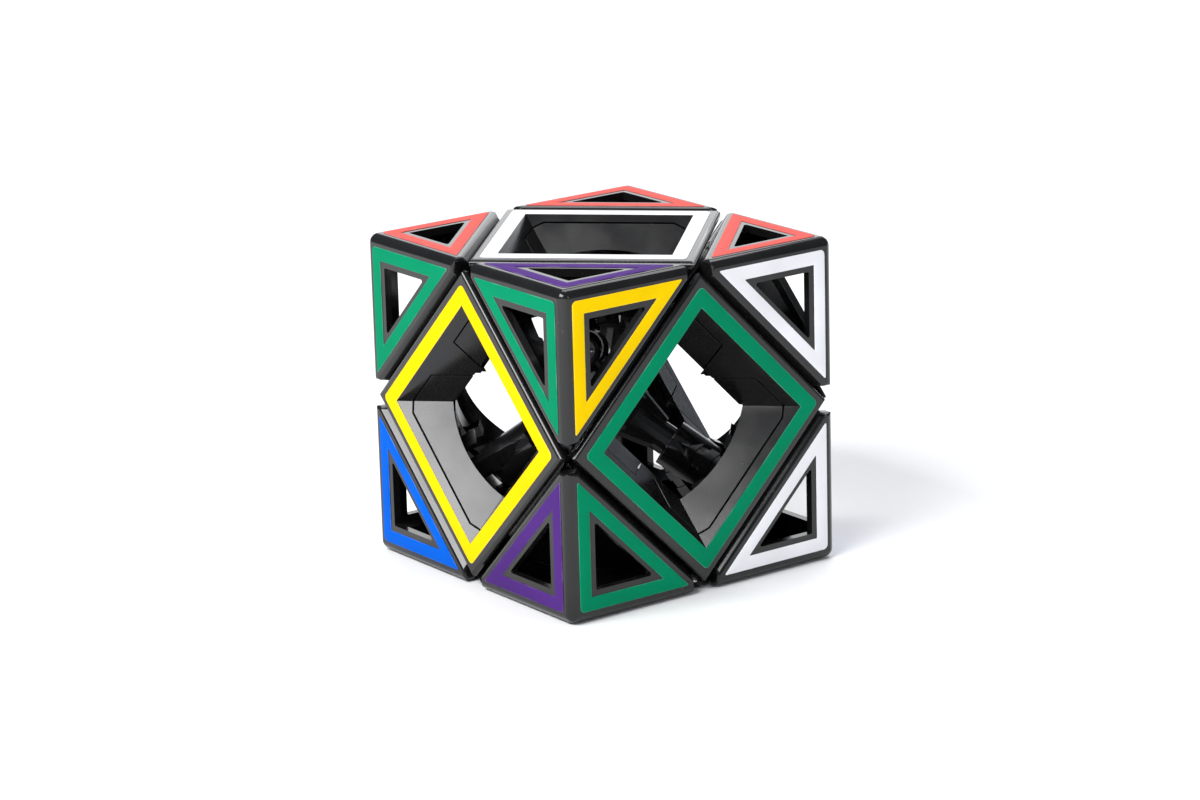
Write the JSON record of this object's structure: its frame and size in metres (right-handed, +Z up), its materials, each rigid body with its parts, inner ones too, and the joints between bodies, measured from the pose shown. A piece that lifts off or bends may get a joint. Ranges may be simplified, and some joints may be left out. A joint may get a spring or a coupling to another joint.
{
  "type": "corner-turning cube puzzle",
  "caption": "Hollow cube puzzle that turns about its four body diagonals, in open black plastic frames with coloured outline stickers.",
  "frame": {"origin": "centre of the bottom face's plane, under the cube's middle", "axes": "+Z up through the top face, -Y out of the front face, +X out of the right face"},
  "size_m": [0.065, 0.065, 0.065],
  "materials": {
    "black_plastic": "satin injection-moulded black ABS",
    "inner_plastic": "semi-matt injection-moulded black plastic",
    "steel": "zinc-plated steel",
    "sticker_yellow": "satin vinyl sticker",
    "sticker_green": "satin vinyl sticker",
    "sticker_blue": "satin vinyl sticker",
    "sticker_purple": "satin vinyl sticker",
    "sticker_red": "satin vinyl sticker",
    "sticker_white": "satin vinyl sticker"
  },
  "bodies": {
    "core": {"core_hub": "inner_plastic", "axle_screw_front_right_top": "steel", "axle_washer_front_right_top": "steel", "axle_screw_back_left_top": "steel", "axle_washer_back_left_top": "steel", "axle_screw_front_left_bottom": "steel", "axle_washer_front_left_bottom": "steel", "axle_screw_back_right_bottom": "steel", "axle_washer_back_right_bottom": "steel"},
    "axle_corner_front_right_top": {"axle_corner_shell_front_right_top": "black_plastic", "axle_corner_base_front_right_top": "inner_plastic", "axle_spring_front_right_top": "steel"},
    "axle_corner_back_left_top": {"axle_corner_shell_back_left_top": "black_plastic", "axle_corner_base_back_left_top": "inner_plastic", "axle_spring_back_left_top": "steel"},
    "axle_corner_front_left_bottom": {"axle_corner_shell_front_left_bottom": "black_plastic", "axle_corner_base_front_left_bottom": "inner_plastic", "axle_spring_front_left_bottom": "steel"},
    "axle_corner_back_right_bottom": {"axle_corner_shell_back_right_bottom": "black_plastic", "axle_corner_base_back_right_bottom": "inner_plastic", "axle_spring_back_right_bottom": "steel"},
    "centre_top": {"centre_cap_top": "black_plastic", "centre_rail_top_a": "inner_plastic", "centre_rail_top_b": "inner_plastic"},
    "centre_right": {"centre_cap_right": "black_plastic", "centre_rail_right_a": "inner_plastic", "centre_rail_right_b": "inner_plastic"},
    "centre_front": {"centre_cap_front": "black_plastic", "centre_rail_front_a": "inner_plastic", "centre_rail_front_b": "inner_plastic"},
    "centre_left": {"centre_cap_left": "black_plastic", "centre_rail_left_a": "inner_plastic", "centre_rail_left_b": "inner_plastic"},
    "centre_back": {"centre_cap_back": "black_plastic", "centre_rail_back_a": "inner_plastic", "centre_rail_back_b": "inner_plastic"},
    "centre_bottom": {"centre_cap_bottom": "black_plastic", "centre_rail_bottom_a": "inner_plastic", "centre_rail_bottom_b": "inner_plastic"},
    "floating_corner_front_left_top": {"floating_corner_shell_front_left_top": "black_plastic", "floating_corner_base_front_left_top": "inner_plastic"},
    "floating_corner_back_right_top": {"floating_corner_shell_back_right_top": "black_plastic", "floating_corner_base_back_right_top": "inner_plastic"},
    "floating_corner_front_right_bottom": {"floating_corner_shell_front_right_bottom": "black_plastic", "floating_corner_base_front_right_bottom": "inner_plastic"},
    "floating_corner_back_left_bottom": {"floating_corner_shell_back_left_bottom": "black_plastic", "floating_corner_base_back_left_bottom": "inner_plastic"}
  },
  "joints": [
    {"name": "turn_front_right_top", "type": "hinge", "parent": "core", "child": "axle_corner_front_right_top", "pos_m": [0, 0, 0.0325], "axis": [0.5774, -0.5774, 0.5774], "continuous": true},
    {"name": "turn_back_left_top", "type": "hinge", "parent": "core", "child": "axle_corner_back_left_top", "pos_m": [0, 0, 0.0325], "axis": [-0.5774, 0.5774, 0.5774], "range_deg": [-360, 360]},
    {"name": "turn_front_left_bottom", "type": "hinge", "parent": "core", "child": "axle_corner_front_left_bottom", "pos_m": [0, 0, 0.0325], "axis": [-0.5774, -0.5774, -0.5774], "range_deg": [-360, 360]},
    {"name": "turn_back_right_bottom", "type": "hinge", "parent": "core", "child": "axle_corner_back_right_bottom", "pos_m": [0, 0, 0.0325], "axis": [0.5774, 0.5774, -0.5774], "range_deg": [-360, 360]},
    {"name": "centre_top_on_back_left_top", "type": "hinge", "parent": "axle_corner_front_right_top", "child": "centre_top", "pos_m": [0, 0, 0.0325], "axis": [-0.5774, 0.5774, 0.5774], "range_deg": [-360, 360]},
    {"name": "centre_right_on_back_right_bottom", "type": "hinge", "parent": "axle_corner_front_right_top", "child": "centre_right", "pos_m": [0, 0, 0.0325], "axis": [0.5774, 0.5774, -0.5774], "range_deg": [-360, 360]},
    {"name": "centre_front_on_front_left_bottom", "type": "hinge", "parent": "axle_corner_front_right_top", "child": "centre_front", "pos_m": [0, 0, 0.0325], "axis": [-0.5774, -0.5774, -0.5774], "range_deg": [-360, 360]},
    {"name": "centre_left_on_front_left_bottom", "type": "hinge", "parent": "axle_corner_back_left_top", "child": "centre_left", "pos_m": [0, 0, 0.0325], "axis": [-0.5774, -0.5774, -0.5774], "range_deg": [-360, 360]},
    {"name": "centre_back_on_back_right_bottom", "type": "hinge", "parent": "axle_corner_back_left_top", "child": "centre_back", "pos_m": [0, 0, 0.0325], "axis": [0.5774, 0.5774, -0.5774], "range_deg": [-360, 360]},
    {"name": "centre_bottom_on_back_right_bottom", "type": "hinge", "parent": "axle_corner_front_left_bottom", "child": "centre_bottom", "pos_m": [0, 0, 0.0325], "axis": [0.5774, 0.5774, -0.5774], "range_deg": [-360, 360]},
    {"name": "floating_front_left_top_on_front_left_bottom", "type": "hinge", "parent": "centre_top", "child": "floating_corner_front_left_top", "pos_m": [0, 0, 0.0325], "axis": [-0.5774, -0.5774, -0.5774], "range_deg": [-360, 360]},
    {"name": "floating_back_right_top_on_back_right_bottom", "type": "hinge", "parent": "centre_top", "child": "floating_corner_back_right_top", "pos_m": [0, 0, 0.0325], "axis": [0.5774, 0.5774, -0.5774], "range_deg": [-360, 360]},
    {"name": "floating_front_right_bottom_on_back_right_bottom", "type": "hinge", "parent": "centre_front", "child": "floating_corner_front_right_bottom", "pos_m": [0, 0, 0.0325], "axis": [0.5774, 0.5774, -0.5774], "range_deg": [-360, 360]},
    {"name": "floating_back_left_bottom_on_back_right_bottom", "type": "hinge", "parent": "centre_left", "child": "floating_corner_back_left_bottom", "pos_m": [0, 0, 0.0325], "axis": [0.5774, 0.5774, -0.5774], "range_deg": [-360, 360]}
  ],
  "couplings": [
    {"joint": "centre_top_on_back_left_top", "follows": "turn_back_left_top", "ratio": 1},
    {"joint": "centre_right_on_back_right_bottom", "follows": "turn_back_right_bottom", "ratio": 1},
    {"joint": "centre_front_on_front_left_bottom", "follows": "turn_front_left_bottom", "ratio": 1},
    {"joint": "centre_left_on_front_left_bottom", "follows": "turn_front_left_bottom", "ratio": 1},
    {"joint": "centre_back_on_back_right_bottom", "follows": "turn_back_right_bottom", "ratio": 1},
    {"joint": "centre_bottom_on_back_right_bottom", "follows": "turn_back_right_bottom", "ratio": 1},
    {"joint": "floating_front_left_top_on_front_left_bottom", "follows": "turn_front_left_bottom", "ratio": 1},
    {"joint": "floating_back_right_top_on_back_right_bottom", "follows": "turn_back_right_bottom", "ratio": 1},
    {"joint": "floating_front_right_bottom_on_back_right_bottom", "follows": "turn_back_right_bottom", "ratio": 1},
    {"joint": "floating_back_left_bottom_on_back_right_bottom", "follows": "turn_back_right_bottom", "ratio": 1}
  ]
}
